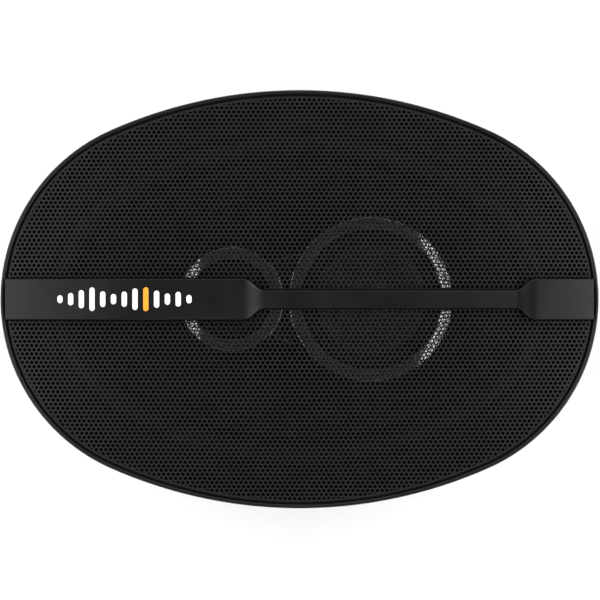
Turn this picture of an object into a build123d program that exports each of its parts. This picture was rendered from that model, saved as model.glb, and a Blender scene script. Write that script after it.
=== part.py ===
from build123d import *
import math
import os

# Coaxial three-way car speaker, 6x9 inch size, in millimetres.
# X is the long axis, Y the short axis and +Z the way the speaker faces. The origin is on the speaker's
# axis in the rear face of the mounting flange, which lies on the panel.

# Grille outline: a four-centre oval, half-length, half-width and end radius.
GRILLE_OVAL = (123.0, 86.0, 76.0)
# Cone opening: every ring of the woofer is an offset of this oval.
CONE_OVAL = (106.0, 72.0, 56.0)

# Mounting flange and basket.
FLANGE_EDGE = -4.5  # from the grille outline
SHEET = 1.2
HOLE_X = 77.0
HOLE_Y = 54.5
HOLE_R = 2.5
WALL_EDGE = -1.0  # from the cone oval
WALL_BOTTOM_Z = -12.0
LEDGE_Z = -38.0
LEDGE_TOP_Z = -36.3
LEDGE_R = 46.0
STEP_R = 40.2
FLOOR_Z = -48.0
FLOOR_HOLE_R = 22.0
WINDOW_BOTTOM_Z = -33.0
WINDOW_TOP_Z = -14.5
WINDOWS = ((-14, 14), (31, 75), (105, 149), (166, 194), (211, 255), (285, 329))  # degrees
BRACKET_X = 6.0
BRACKET_Y = -57.0
BRACKET_BOTTOM_Z = -53.0

# Grille.
SKIRT_BOTTOM_Z = 0.3
SKIRT_WALL = 2.2
BEAD_WALL = 1.7
RIM_LEDGE_Z = 10.5
RIM_LEDGE_EDGE = -6.2
BEAD_SIDE_Z = 11.65
MESH_TOP_Z = 20.0
MESH_SHEET = 0.8
MESH_EDGE = -2.0
CROWN_EDGE = -70.0  # the mesh is flat inside this offset
CROWN_R = 271.0
CROWN_FLAT_X = GRILLE_OVAL[0] + CROWN_EDGE
TAB_SHEET = 1.4
TAB_GAP = 0.4
END_TAB_HALF = 7.0
SIDE_TAB_HALF = 5.0
SIDE_TAB_X = 20.0

# Bar across the grille, with a raised pad at each end.
BAR_END_X = 120.7  # its corners just clear the rim
PAD_HALF = 8.4
BAR_HALF = 3.75
LEFT_PAD_X = -21.6
LEFT_NECK_X = -14.6
RIGHT_NECK_X = 88.9
RIGHT_PAD_X = 95.2
BAR_LIFT = 0.3  # gap between the mesh and the bar
BAR_TOP = 2.6  # above the mesh
PAD_TOP = 4.6
BADGE_TOP = 5.2
BADGE_LEFT_X = -97.8
BADGE_PITCH = 4.4
BADGE_BAR = 2.2
BADGE_HEIGHTS = (3.2, 5.0, 7.4, 9.6, 6.4, 4.2, 6.2, 8.8, 9.8, 7.0, 4.6, 6.0, 3.4)
BADGE_ACCENT = 8  # which bar is amber

# Base ring that carries the grille.
BASE_WALL_EDGE = -2.6
BASE_WALL = 1.6
BASE_TOP_Z = 8.0
BASE_PLATE_Z = 3.6
BOSS_R = 4.4
BOSS_TOP_Z = 5.2
POCKET_R = 2.8
POCKET_TOP_Z = 4.0
LIP_Z = 1.8
GASKET_Z = 2.6
LIP_OUTER = 1.4  # from the cone oval
ROLL_OUTER = -2.4
ROLL_INNER = -14.4
LIP_INNER = -17.4
ROLL_SHEET = 0.6
BASE_INNER = -1.8

# Woofer motor and moving parts.
MOTOR_R = 46.0
MAGNET_R = 50.0
MAGNET_HOLE_R = 24.0
TOP_PLATE_Z = -54.0
MAGNET_Z = -71.0
BACK_Z = -77.0
GAP_R = 20.0
POLE_R = 18.1
BORE_R = 4.8
COUNTERBORE_R = 9.0
COUNTERBORE_Z = -72.0
FORMER_INNER_R = 18.5
FORMER_R = 18.9
FORMER_Z = (-59.0, -34.0)
WINDING_R = 19.6
WINDING_Z = (-57.0, -45.0)
CONE_SHEET = 0.8
SPIDER_R = 45.0
SPIDER_ROLLS = 3
SPIDER_SHEET = 0.5
RIVET_CIRCLE_R = 31.0
RIVET_R = 2.0

# Terminals.
BOARD_Z = (-62.0, -39.0)
BOARD_X = 17.0
BOARD_SHEET = 1.6
TERMINAL_X = 10.0
TERMINAL_SHEET = 0.8
TERMINAL_Z = (-70.0, -45.0)
POSITIVE_HALF = 3.15
NEGATIVE_HALF = 2.4
TERMINAL_RIVET_Z = -49.0
BOARD_RIVET_Z = (-43.0, -50.0)
BOARD_RIVET_R = 1.3
CAPACITOR_R = 3.8

# Centre post and pods.
POST_FLANGE_R = 10.0
POST_R = 6.0
POST_TOP_Z = -13.0
STEM_R = 4.5
HOLLOW_R = 2.4
STEM_END_Z = -75.0
WIRE_R = 0.7
WIRE_X = 1.1
MID_X = 29.4
TWEETER_X = -28.0
POD_TOP_Z = 11.0
MID_POD_R = 33.4
TWEETER_POD_R = 21.1
POD_WALL = 1.8
RING_TOP_Z = 14.0

# Midrange and tweeter, inside their pods.
MID_YOKE_Z = (-11.2, -9.2)
MID_PLATE_Z = (-3.5, -1.5)
MID_FRAME_Z = -0.3
MID_LEDGE_Z = (8.0, 9.2)
MID_LIP_Z = 9.6
MID_MOTOR_R = 15.5
TWEETER_YOKE_Z = (-4.2, -2.2)
TWEETER_PLATE_Z = (3.0, 5.0)
TWEETER_CLAMP_Z = 6.2
TWEETER_LIP_Z = 6.5
TWEETER_MOTOR_R = 15.5


def oval_numbers(oval, offset):
    """Half-length, half-width, end radius, and side radius of an oval, offset outwards."""
    a, b, r = oval
    side = ((a - r) ** 2 + b**2 - r**2) / (2 * (b - r))
    return a + offset, b + offset, r + offset, side + offset


def oval_wire(oval, offset=0.0, z=0.0):
    """Closed wire of four tangent arcs."""
    a, b, r, side = oval_numbers(oval, offset)
    end_x = a - r
    side_y = side - b
    turn = math.atan2(side_y, end_x)
    tangent = (end_x + r * math.cos(turn), r * math.sin(turn))
    corners = [(sx * tangent[0], sy * tangent[1], z) for sx, sy in ((1, -1), (1, 1), (-1, 1), (-1, -1))]
    middles = [(a, 0, z), (0, b, z), (-a, 0, z), (0, -b, z)]
    arcs = [ThreePointArc(corners[i], middles[i], corners[(i + 1) % 4]) for i in range(4)]
    return Wire(arcs)


def circle_wire(oval, radius, z):
    """Circle of four arcs that face the same ways as the arcs of the oval, ready to be lofted to it."""
    a, b, r, side = oval_numbers(oval, 0)
    turn = math.atan2(side - b, a - r)
    angles = (-turn, turn, math.pi - turn, math.pi + turn)
    corners = [(radius * math.cos(t), radius * math.sin(t), z) for t in angles]
    middles = [(radius, 0, z), (0, radius, z), (-radius, 0, z), (0, -radius, z)]
    arcs = [ThreePointArc(corners[i], middles[i], corners[(i + 1) % 4]) for i in range(4)]
    return Wire(arcs)


def oval_plate(oval, offset, bottom, top):
    """Straight-sided solid over an oval."""
    return extrude(Face(oval_wire(oval, offset, bottom)), top - bottom, dir=(0, 0, 1))


def oval_band(oval, outer, inner, bottom, top):
    """Straight-sided ring between two offsets of an oval."""
    return oval_plate(oval, outer, bottom, top) - oval_plate(oval, inner, bottom, top)


def oval_sweep(oval, section):
    """Carry a section, drawn as offset against height, round an oval as four turned pieces."""
    a, b, r, side = oval_numbers(oval, 0)
    end_x = a - r
    side_y = side - b
    turn = math.degrees(math.atan2(side_y, end_x))
    sectors = (
        ((end_x, 0), r, -turn, 2 * turn),
        ((0, -side_y), side, turn, 180 - 2 * turn),
        ((-end_x, 0), r, 180 - turn, 2 * turn),
        ((0, side_y), side, 180 + turn, 180 - 2 * turn),
    )
    pieces = []
    for (x, y), radius, start, sweep in sectors:
        standing = Plane(origin=(x, y, 0), x_dir=(1, 0, 0), z_dir=(0, -1, 0)) * Pos(radius, 0) * section
        turned = standing.rotate(Axis((x, y, 0), (0, 0, 1)), start)
        pieces.append(revolve(turned, Axis((x, y, 0), (0, 0, 1)), sweep))
    return pieces[0] + pieces[1:]


def polygon(*points):
    """Face in the drawing plane through the points."""
    return make_face(Polyline(*points, close=True))


def half_roll(outer, inner, z, sheet):
    """Section of an upward half roll between two offsets, with flat lips left out."""
    middle = (outer + inner) / 2
    radius = (outer - inner) / 2
    outside = ThreePointArc((outer, z), (middle, z + radius), (inner, z))
    inside = ThreePointArc((inner + sheet, z), (middle, z + radius - sheet), (outer - sheet, z))
    feet = [Line((inner, z), (inner + sheet, z)), Line((outer - sheet, z), (outer, z))]
    return make_face([outside, feet[0], inside, feet[1]])


def turned(section, x=0.0, y=0.0):
    """Solid of revolution about a vertical axis from a section of radius against height."""
    return Pos(x, y, 0) * revolve(Plane.XZ * section, Axis.Z)


def tube(outer, inner, bottom, top, x=0.0, y=0.0):
    """Upright tube."""
    return turned(polygon((inner, bottom), (outer, bottom), (outer, top), (inner, top)), x, y)


def disc(radius, bottom, top, x=0.0, y=0.0):
    """Upright disc."""
    return Pos(x, y, (bottom + top) / 2) * Cylinder(radius, top - bottom)


def block(low, high):
    """Box between two corners."""
    size = [h - l for l, h in zip(low, high)]
    middle = [(l + h) / 2 for l, h in zip(low, high)]
    return Pos(*middle) * Box(*size)


def screw_holes(radius, bottom, top):
    """Four discs at the mounting holes."""
    places = [(sx * HOLE_X, sy * HOLE_Y) for sx in (-1, 1) for sy in (-1, 1)]
    return [disc(radius, bottom, top, x, y) for x, y in places]


def crown_line(lift, x):
    """Height over the mesh's top line at x, lifted square to the mesh."""
    past = max(abs(x) - CROWN_FLAT_X, 0.0)
    radius = CROWN_R + lift
    return MESH_TOP_Z - CROWN_R + math.sqrt(radius**2 - past**2)


def crown_band(low, high, half_width):
    """Solid between two lifts over the mesh, along the whole bar."""
    end = BAR_END_X
    bend = CROWN_FLAT_X
    between = (bend + end) / 2
    edges = []
    for lift in (low, high):
        heights = [crown_line(lift, x) for x in (bend, between, end)]
        edges.append(ThreePointArc((-end, heights[2]), (-between, heights[1]), (-bend, heights[0])))
        edges.append(Line((-bend, heights[0]), (bend, heights[0])))
        edges.append(ThreePointArc((bend, heights[0]), (between, heights[1]), (end, heights[2])))
    for side in (-1, 1):
        edges.append(Line((side * end, crown_line(low, end)), (side * end, crown_line(high, end))))
    section = Plane.XZ.offset(-half_width) * make_face(edges)
    return extrude(section, 2 * half_width, dir=(0, -1, 0))


def grille_ring():
    """Rim of the grille with its skirt, its inside ledge and the grip tabs."""
    bead_top = BEAD_SIDE_Z + BEAD_WALL / 2
    edges = [
        Polyline((-BEAD_WALL, BEAD_SIDE_Z), (-BEAD_WALL, RIM_LEDGE_Z), (RIM_LEDGE_EDGE, RIM_LEDGE_Z),
                 (RIM_LEDGE_EDGE, RIM_LEDGE_Z - SHEET), (-SKIRT_WALL, RIM_LEDGE_Z - SHEET),
                 (-SKIRT_WALL, SKIRT_BOTTOM_Z), (0, SKIRT_BOTTOM_Z), (0, BEAD_SIDE_Z)),
        ThreePointArc((0, BEAD_SIDE_Z), (-BEAD_WALL / 2, bead_top), (-BEAD_WALL, BEAD_SIDE_Z)),
    ]
    ring = oval_sweep(GRILLE_OVAL, make_face(edges))
    bottom = BASE_PLATE_Z + 0.8
    top = RIM_LEDGE_Z - SHEET
    a, b, r, side = oval_numbers(GRILLE_OVAL, BASE_WALL_EDGE - BASE_WALL - TAB_GAP)
    end_x = a - r + math.sqrt(r**2 - END_TAB_HALF**2)
    side_y = b - side + math.sqrt(side**2 - (SIDE_TAB_X + SIDE_TAB_HALF) ** 2)
    end_tab = block((end_x - TAB_SHEET, -END_TAB_HALF, bottom), (end_x, END_TAB_HALF, top))
    side_tab = block((SIDE_TAB_X - SIDE_TAB_HALF, side_y - TAB_SHEET, bottom),
                     (SIDE_TAB_X + SIDE_TAB_HALF, side_y, top))
    ring += [end_tab, mirror(end_tab, Plane.YZ), side_tab, mirror(side_tab, Plane.YZ)]
    ring += [mirror(side_tab, Plane.XZ), Rot(0, 0, 180) * side_tab]
    return ring


def grille_mesh():
    """Domed sheet of the grille, drawn solid: the perforations are not cut."""
    radius = CROWN_R
    centre_z = MESH_TOP_Z - radius
    under = radius - MESH_SHEET
    reach = MESH_EDGE - CROWN_EDGE

    def at(r, past):
        return CROWN_EDGE + past, centre_z + math.sqrt(r**2 - past**2)

    edges = [
        ThreePointArc(at(radius, 0), at(radius, reach / 2), at(radius, reach)),
        Line(at(radius, reach), at(under, reach)),
        ThreePointArc(at(under, reach), at(under, reach / 2), at(under, 0)),
        Line(at(under, 0), at(radius, 0)),
    ]
    dome = oval_sweep(GRILLE_OVAL, make_face(edges))
    return dome + oval_plate(GRILLE_OVAL, CROWN_EDGE, MESH_TOP_Z - MESH_SHEET, MESH_TOP_Z)


def grille_bar():
    """Bar across the grille: a narrow middle with a raised wide pad at each end."""
    end = BAR_END_X
    plan = polygon(
        (-end, -PAD_HALF), (LEFT_PAD_X, -PAD_HALF), (LEFT_NECK_X, -BAR_HALF),
        (RIGHT_NECK_X, -BAR_HALF), (RIGHT_PAD_X, -PAD_HALF), (end, -PAD_HALF),
        (end, PAD_HALF), (RIGHT_PAD_X, PAD_HALF), (RIGHT_NECK_X, BAR_HALF),
        (LEFT_NECK_X, BAR_HALF), (LEFT_PAD_X, PAD_HALF), (-end, PAD_HALF),
    )
    shape = extrude(plan, BASE_TOP_Z + MESH_TOP_Z, dir=(0, 0, 1))
    middle = block((LEFT_PAD_X, -PAD_HALF, 0), (RIGHT_PAD_X, PAD_HALF, BASE_TOP_Z + MESH_TOP_Z))
    neck = shape & middle & crown_band(BAR_LIFT, BAR_TOP, PAD_HALF + 1)
    pads = (shape - middle) & crown_band(BAR_LIFT, PAD_TOP, PAD_HALF + 1)
    return neck + pads


def badge_bar(i):
    """One upright round-ended bar of the emblem on the left pad."""
    x = BADGE_LEFT_X + i * BADGE_PITCH
    plan = Pos(x, 0) * SlotOverall(BADGE_HEIGHTS[i], BADGE_BAR, rotation=90)
    return extrude(plan, BASE_TOP_Z + MESH_TOP_Z, dir=(0, 0, 1)) & crown_band(PAD_TOP, BADGE_TOP, PAD_HALF)


def grille_base_ring():
    """Plastic ring on the flange that the grille presses onto, with a blind boss over each screw hole."""
    ring = oval_plate(GRILLE_OVAL, BASE_WALL_EDGE, SHEET, BASE_PLATE_Z)
    ring += oval_band(GRILLE_OVAL, BASE_WALL_EDGE, BASE_WALL_EDGE - BASE_WALL, BASE_PLATE_Z, BASE_TOP_Z)
    ring += screw_holes(BOSS_R, SHEET, BOSS_TOP_Z)
    ring -= oval_plate(CONE_OVAL, BASE_INNER, SHEET, BASE_PLATE_Z)
    ring -= oval_plate(CONE_OVAL, LIP_OUTER, SHEET, GASKET_Z)
    return ring - screw_holes(POCKET_R, SHEET, POCKET_TOP_Z)


def basket_cone():
    """Sloping wall of the basket, from the round ledge up to the oval wall."""
    bottom = Face(circle_wire(CONE_OVAL, LEDGE_R, LEDGE_Z))
    top = Face(oval_wire(CONE_OVAL, WALL_EDGE, WALL_BOTTOM_Z))
    full = loft([bottom, top], ruled=True)
    rise = LEDGE_TOP_Z - LEDGE_Z
    return full - Pos(0, 0, rise) * full


def window(start, end):
    """Wedge that opens one window in the basket's wall."""
    far = 150.0
    steps = [start, (start + end) / 2, end]
    rim = [(far * math.cos(math.radians(t)), far * math.sin(math.radians(t))) for t in steps]
    plan = Pos(0, 0, WINDOW_BOTTOM_Z) * polygon((0, 0), *rim)
    return extrude(plan, WINDOW_TOP_Z - WINDOW_BOTTOM_Z, dir=(0, 0, 1))


def basket():
    """Pressed-steel basket: flange, oval wall, windowed cone, spider ledge, floor and terminal bracket."""
    flange = oval_plate(GRILLE_OVAL, FLANGE_EDGE, 0, SHEET)
    flange -= oval_plate(CONE_OVAL, WALL_EDGE - SHEET, 0, SHEET)
    flange -= screw_holes(HOLE_R, 0, SHEET)
    frame = flange + oval_band(CONE_OVAL, WALL_EDGE, WALL_EDGE - SHEET, WALL_BOTTOM_Z, 0)
    frame += basket_cone() - disc(STEP_R - SHEET, LEDGE_Z, LEDGE_TOP_Z)
    for start, end in WINDOWS:
        frame -= window(start, end)
    frame += tube(STEP_R, STEP_R - SHEET, FLOOR_Z, LEDGE_TOP_Z)
    frame += tube(STEP_R, FLOOR_HOLE_R, FLOOR_Z, FLOOR_Z + SHEET)
    inner_y = -(LEDGE_R - 2)
    frame += block((-BRACKET_X, BRACKET_Y, LEDGE_Z), (BRACKET_X, inner_y, LEDGE_Z + SHEET))
    frame += block((-BRACKET_X, BRACKET_Y, BRACKET_BOTTOM_Z), (BRACKET_X, BRACKET_Y + SHEET, LEDGE_Z))
    frame -= motor_rivet_drills(FLOOR_Z, FLOOR_Z + SHEET)
    return frame - board_rivet_shanks()


def motor_rivet_drills(bottom, top):
    """Four rivet shanks round the motor."""
    places = [(RIVET_CIRCLE_R * sx * math.sqrt(0.5), RIVET_CIRCLE_R * sy * math.sqrt(0.5))
              for sx in (-1, 1) for sy in (-1, 1)]
    return [disc(RIVET_R, bottom, top, x, y) for x, y in places]


def motor_rivets():
    """Rivets that hold the basket's floor on the top plate."""
    head = 1.2
    depth = 4.0
    top = FLOOR_Z + SHEET
    rivets = []
    for shank in motor_rivet_drills(FLOOR_Z - depth, top):
        centre = shank.center()
        rivets.append(shank + disc(RIVET_R + 1.5, top, top + head, centre.X, centre.Y))
    return rivets


def top_plate():
    """Front plate of the motor, with the gap bore."""
    plate = tube(MOTOR_R, GAP_R, TOP_PLATE_Z, FLOOR_Z)
    return plate - motor_rivet_drills(FLOOR_Z - 4.0, FLOOR_Z)


def back_plate():
    """Back plate and pole piece in one turning, with a bore, a nut counterbore and a groove for leads."""
    section = polygon(
        (BORE_R, COUNTERBORE_Z), (COUNTERBORE_R, COUNTERBORE_Z), (COUNTERBORE_R, BACK_Z), (MOTOR_R, BACK_Z),
        (MOTOR_R, MAGNET_Z), (POLE_R, MAGNET_Z), (POLE_R, FLOOR_Z), (BORE_R, FLOOR_Z),
    )
    groove_half = 2.6
    groove_depth = 2.4
    groove_end_y = -COUNTERBORE_R + 1
    groove_top_z = BACK_Z + groove_depth
    groove = block((-groove_half, -MOTOR_R - 1, BACK_Z), (groove_half, groove_end_y, groove_top_z))
    return turned(section) - groove


def woofer_cone():
    """Cone from the oval edge down to the coil former."""
    edge_z = SHEET
    neck_z = FORMER_Z[1]
    bottom = Face(circle_wire(CONE_OVAL, FORMER_R + 0.2, neck_z))
    top = Face(oval_wire(CONE_OVAL, ROLL_INNER, edge_z))
    full = loft([bottom, top], ruled=True)
    shell = full - Pos(0, 0, CONE_SHEET) * full
    return shell - disc(FORMER_INNER_R, neck_z, neck_z + 2 * CONE_SHEET)


def woofer_surround():
    """Half-roll edge of the woofer, from its lip on the flange to its lip on the cone."""
    roll_z = LIP_Z - 0.3
    roll = oval_sweep(CONE_OVAL, half_roll(ROLL_OUTER, ROLL_INNER, roll_z, ROLL_SHEET))
    outer_lip = oval_band(CONE_OVAL, LIP_OUTER, ROLL_OUTER - ROLL_SHEET, SHEET, LIP_Z)
    inner_lip = oval_band(CONE_OVAL, ROLL_INNER + ROLL_SHEET, LIP_INNER, SHEET, LIP_Z)
    return roll + outer_lip + inner_lip


def surround_gasket():
    """Flat gasket between the surround's lip and the base ring."""
    return oval_band(CONE_OVAL, LIP_OUTER, BASE_INNER, LIP_Z, GASKET_Z)


def spider():
    """Corrugated centring disc between the former and the ledge."""
    flat_r = STEP_R - SHEET - 0.2
    start_r = FORMER_R + 1.6
    low = LEDGE_TOP_Z
    wave = 1.3
    per_roll = 4
    count = SPIDER_ROLLS * per_roll
    points = [(FORMER_R, low), (start_r, low)]
    for i in range(1, count):
        r = start_r + (flat_r - start_r) * i / count
        points.append((r, low + wave * math.sin(2 * math.pi * i / per_roll)))
    points += [(flat_r, low), (SPIDER_R, low)]
    over = [(r, z + SPIDER_SHEET) for r, z in reversed(points)]
    return turned(polygon(*points, *over))


def dust_ring():
    """Felt ring that closes the former round the post."""
    inner_r = POST_R + 1.5
    inner_z = FORMER_Z[1] - 1.0
    outer_z = inner_z - 1.5
    thick = 0.6
    return turned(polygon(
        (inner_r, inner_z), (FORMER_INNER_R, outer_z), (FORMER_INNER_R, outer_z + thick),
        (inner_r, inner_z + thick),
    ))


def tinsel_lead(side):
    """Flexible lead from a terminal through a window to the back of the cone."""
    lead_r = 0.6
    route = [
        (side * TERMINAL_X, BRACKET_Y + 1.2, -44.0),
        (side * 14.0, BRACKET_Y + 4.0, -36.0),
        (side * 21.0, -48.0, -29.5),
        (side * 19.5, -41.0, -25.5),
        (side * 16.0, -34.0, -22.5),
    ]
    path = FilletPolyline(*route, radius=3.0)
    start = path ^ 0
    profile = Plane(origin=start.position, z_dir=path % 0) * Circle(lead_r)
    return sweep(profile, path)


def terminal_board():
    """Insulating board riveted to the bracket."""
    board = block((-BOARD_X, BRACKET_Y - BOARD_SHEET, BOARD_Z[0]), (BOARD_X, BRACKET_Y, BOARD_Z[1]))
    for x in (-TERMINAL_X, TERMINAL_X):
        board -= level_disc(BOARD_RIVET_R, x, TERMINAL_RIVET_Z, BRACKET_Y - BOARD_SHEET, BRACKET_Y)
    return board - board_rivet_shanks()


def level_disc(radius, x, z, low_y, high_y):
    """Disc that lies along Y."""
    return Pos(x, (low_y + high_y) / 2, z) * Rot(90, 0, 0) * Cylinder(radius, high_y - low_y)


def board_rivet_shanks():
    """Shanks of the two rivets through the board and the bracket."""
    low = BRACKET_Y - BOARD_SHEET
    return [level_disc(BOARD_RIVET_R, 0, z, low, BRACKET_Y + SHEET) for z in BOARD_RIVET_Z]


def board_rivets():
    """Rivets of the board, with a head at each end."""
    head = 0.8
    low = BRACKET_Y - BOARD_SHEET
    high = BRACKET_Y + SHEET
    rivets = []
    for shank, z in zip(board_rivet_shanks(), BOARD_RIVET_Z):
        heads = level_disc(2.4, 0, z, low - head, low) + level_disc(2.4, 0, z, high, high + head)
        rivets.append(shank + heads)
    return rivets


def terminal(side, half_width):
    """Spade tab on the outside of the board, with a notched tip and a rivet hole."""
    outer = BRACKET_Y - BOARD_SHEET
    x = side * TERMINAL_X
    tip = 1.2
    bottom, top = TERMINAL_Z
    plan = polygon(
        (x - half_width, bottom + tip), (x - half_width + tip, bottom), (x + half_width - tip, bottom),
        (x + half_width, bottom + tip), (x + half_width, top), (x - half_width, top),
    )
    blade = extrude(Plane.XZ.offset(-outer) * plan, TERMINAL_SHEET, dir=(0, -1, 0))
    blade -= level_disc(0.9, x, bottom + 3.6, outer - TERMINAL_SHEET, outer)
    return blade - level_disc(BOARD_RIVET_R, x, TERMINAL_RIVET_Z, outer - TERMINAL_SHEET, outer)


def terminal_rivets():
    """Rivets that hold the two tabs on the board."""
    head = 0.7
    outer = BRACKET_Y - BOARD_SHEET - TERMINAL_SHEET
    rivets = []
    for x in (-TERMINAL_X, TERMINAL_X):
        rivet = level_disc(BOARD_RIVET_R, x, TERMINAL_RIVET_Z, outer, BRACKET_Y)
        rivet += level_disc(2.1, x, TERMINAL_RIVET_Z, outer - head, outer)
        rivets.append(rivet + level_disc(2.1, x, TERMINAL_RIVET_Z, BRACKET_Y, BRACKET_Y + head))
    return rivets


def capacitor(angle, length, radius):
    """Crossover capacitor lying on the top plate beside the basket's step."""
    can = fillet(Cylinder(radius, length).edges(), 0.6)
    laid = Rot(90, 0, 0) * can
    return Rot(0, 0, angle) * Pos(STEP_R + 0.3 + radius, 0, FLOOR_Z + radius) * laid


def coax_post():
    """Hollow post: a stem through the pole, a flange on it and a shaft up to the pods."""
    flange_top = FLOOR_Z + 3.0
    spigot_top = POST_TOP_Z + 4.0
    section = polygon(
        (HOLLOW_R, STEM_END_Z), (STEM_R, STEM_END_Z), (STEM_R, FLOOR_Z), (POST_FLANGE_R, FLOOR_Z),
        (POST_FLANGE_R, flange_top), (POST_R, flange_top + 3.0), (POST_R, POST_TOP_Z), (STEM_R, POST_TOP_Z),
        (STEM_R, spigot_top), (HOLLOW_R, spigot_top),
    )
    return turned(section)


def post_nut():
    """Nut on the stem, in the counterbore of the back plate."""
    flats = 13.0
    height = COUNTERBORE_Z - STEM_END_Z
    plan = Pos(0, 0, STEM_END_Z) * RegularPolygon(flats / 2, 6, major_radius=False)
    return extrude(plan, height, dir=(0, 0, 1)) - disc(STEM_R, STEM_END_Z, COUNTERBORE_Z)


def pod_lead(side):
    """One lead from the terminal board, under the magnet and up the post to the pods."""
    x = side * WIRE_X
    run_z = BACK_Z + 1.0
    outside_y = -MAGNET_R - 2.0
    route = [
        (x, 0, POST_TOP_Z), (x, 0, run_z), (x, outside_y, run_z),
        (x, outside_y, BOARD_Z[0] + 6.0), (side * (TERMINAL_X - 1.0), BRACKET_Y + 1.0, BOARD_Z[0] + 10.0),
    ]
    path = FilletPolyline(*route, radius=[1.6, 1.6, 2.4])
    profile = Plane(origin=path @ 0, z_dir=path % 0) * Circle(WIRE_R)
    return sweep(profile, path)


def cup_section(outer, foot, shoulder_z, floor_z, top, wall):
    """Half section of a round cup with a tapered foot."""
    return polygon(
        (0, floor_z), (foot, floor_z), (outer, shoulder_z), (outer, top),
        (outer - wall, top), (outer - wall, shoulder_z + 0.8), (foot - 0.8, floor_z + wall),
        (0, floor_z + wall),
    )


def pod_housing():
    """Moulding on the post with a cup for the midrange and a cup for the tweeter."""
    mid_floor = POST_TOP_Z
    mid_foot_r = 21.5  # clear of the woofer cone at the top of its travel
    mid_shoulder_z = -4.0
    tweeter_floor = -6.0
    tweeter_foot_r = 17.0
    tweeter_shoulder_z = -2.0
    wall = POD_WALL
    mid_solid = turned(polygon(
        (0, mid_floor), (mid_foot_r, mid_floor), (MID_POD_R, mid_shoulder_z), (MID_POD_R, POD_TOP_Z),
        (0, POD_TOP_Z),
    ), MID_X)
    tweeter_solid = turned(polygon(
        (0, tweeter_floor), (tweeter_foot_r, tweeter_floor), (TWEETER_POD_R, tweeter_shoulder_z),
        (TWEETER_POD_R, POD_TOP_Z), (0, POD_TOP_Z),
    ), TWEETER_X)
    web = block((TWEETER_X, -9.0, mid_floor), (MID_X, 9.0, 6.0))
    mid_section = cup_section(MID_POD_R, mid_foot_r, mid_shoulder_z, mid_floor, POD_TOP_Z, wall)
    tweeter_section = cup_section(
        TWEETER_POD_R, tweeter_foot_r, tweeter_shoulder_z, tweeter_floor, POD_TOP_Z, wall
    )
    mid_cup = turned(mid_section, MID_X)
    tweeter_cup = turned(tweeter_section, TWEETER_X)
    web_foot = block((TWEETER_X - 1, -10.0, mid_floor - 1), (-12.0, 10.0, tweeter_floor))
    housing = (web - web_foot - mid_solid - tweeter_solid) + mid_cup + tweeter_cup
    housing -= disc(STEM_R, POST_TOP_Z, POST_TOP_Z + 4.0)
    housing -= disc(HOLLOW_R, POST_TOP_Z + 4.0, -2.0)
    passage = Pos(-6.0, 0, 2.0) * Rot(0, 90, 0) * Cylinder(1.6, 10.0)
    return housing - passage


def driver_trim_ring(outer, inner, bottom, x):
    """Bright ring over the rim of a pod."""
    crest = (outer + inner) / 2 + 0.6
    side_z = POD_TOP_Z + 1.2
    bulge = ((outer + crest) / 2 + 0.4, RING_TOP_Z - 0.5)
    skirt = outer - POD_WALL - 0.5
    inside = Polyline((crest, RING_TOP_Z), (inner, bottom + 1.0), (inner, bottom), (skirt, bottom),
                      (skirt, POD_TOP_Z), (outer, POD_TOP_Z), (outer, side_z))
    return turned(make_face([inside, ThreePointArc((outer, side_z), bulge, (crest, RING_TOP_Z))]), x)


def midrange_frame():
    """Small basket of the midrange."""
    floor_low = MID_PLATE_Z[1]
    ledge_low, ledge_top = MID_LEDGE_Z
    return turned(polygon(
        (9.6, floor_low), (15.0, floor_low), (28.0, ledge_low), (31.5, ledge_low), (31.5, ledge_top),
        (27.8, ledge_top), (14.4, MID_FRAME_Z), (9.6, MID_FRAME_Z),
    ), MID_X)


def midrange_yoke():
    """Back disc and pole of the midrange motor."""
    low, top = MID_YOKE_Z
    pole_r = 6.8
    pole_top = MID_PLATE_Z[1]
    return turned(polygon(
        (0, low), (MID_MOTOR_R, low), (MID_MOTOR_R, top), (pole_r, top), (pole_r, pole_top), (0, pole_top)
    ), MID_X)


def midrange_cone():
    """Cone of the midrange."""
    return turned(polygon((7.7, 1.5), (23.6, 8.7), (23.6, 9.2), (23.0, 9.2), (7.7, 2.1)), MID_X)


def midrange_surround():
    """Half-roll edge of the midrange cone."""
    outer_r = 27.7
    inner_r = 23.7
    z = (MID_LEDGE_Z[1] + MID_LIP_Z) / 2
    sheet = MID_LIP_Z - MID_LEDGE_Z[1]
    roll = turned(half_roll(outer_r, inner_r, z, sheet), MID_X)
    outer_lip = tube(31.0, outer_r - sheet, MID_LEDGE_Z[1], MID_LIP_Z, MID_X)
    return roll + outer_lip + tube(inner_r + sheet, 22.6, MID_LEDGE_Z[1], MID_LIP_Z, MID_X)


def spherical_cap(radius, rim_z, height, sheet, x):
    """Thin domed cap on a round rim."""
    ball = (radius**2 + height**2) / (2 * height)
    centre_z = rim_z + height - ball
    shell = Pos(x, 0, centre_z) * (Sphere(ball) - Sphere(ball - sheet))
    return shell & disc(radius, rim_z, rim_z + height + 1.0, x)


def tweeter_yoke():
    """Back disc and pole of the tweeter motor."""
    low, top = TWEETER_YOKE_Z
    pole_r = 9.3
    pole_top = TWEETER_PLATE_Z[1]
    return turned(polygon(
        (0, low), (TWEETER_MOTOR_R, low), (TWEETER_MOTOR_R, top), (pole_r, top), (pole_r, pole_top),
        (0, pole_top),
    ), TWEETER_X)


def tweeter_surround():
    """Half-roll edge and lip of the tweeter dome."""
    outer_r = 13.4
    inner_r = 10.6
    sheet = TWEETER_LIP_Z - TWEETER_CLAMP_Z
    roll = turned(half_roll(outer_r, inner_r, TWEETER_CLAMP_Z, sheet), TWEETER_X)
    return roll + tube(15.4, outer_r - sheet, TWEETER_CLAMP_Z, TWEETER_LIP_Z, TWEETER_X)


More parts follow.
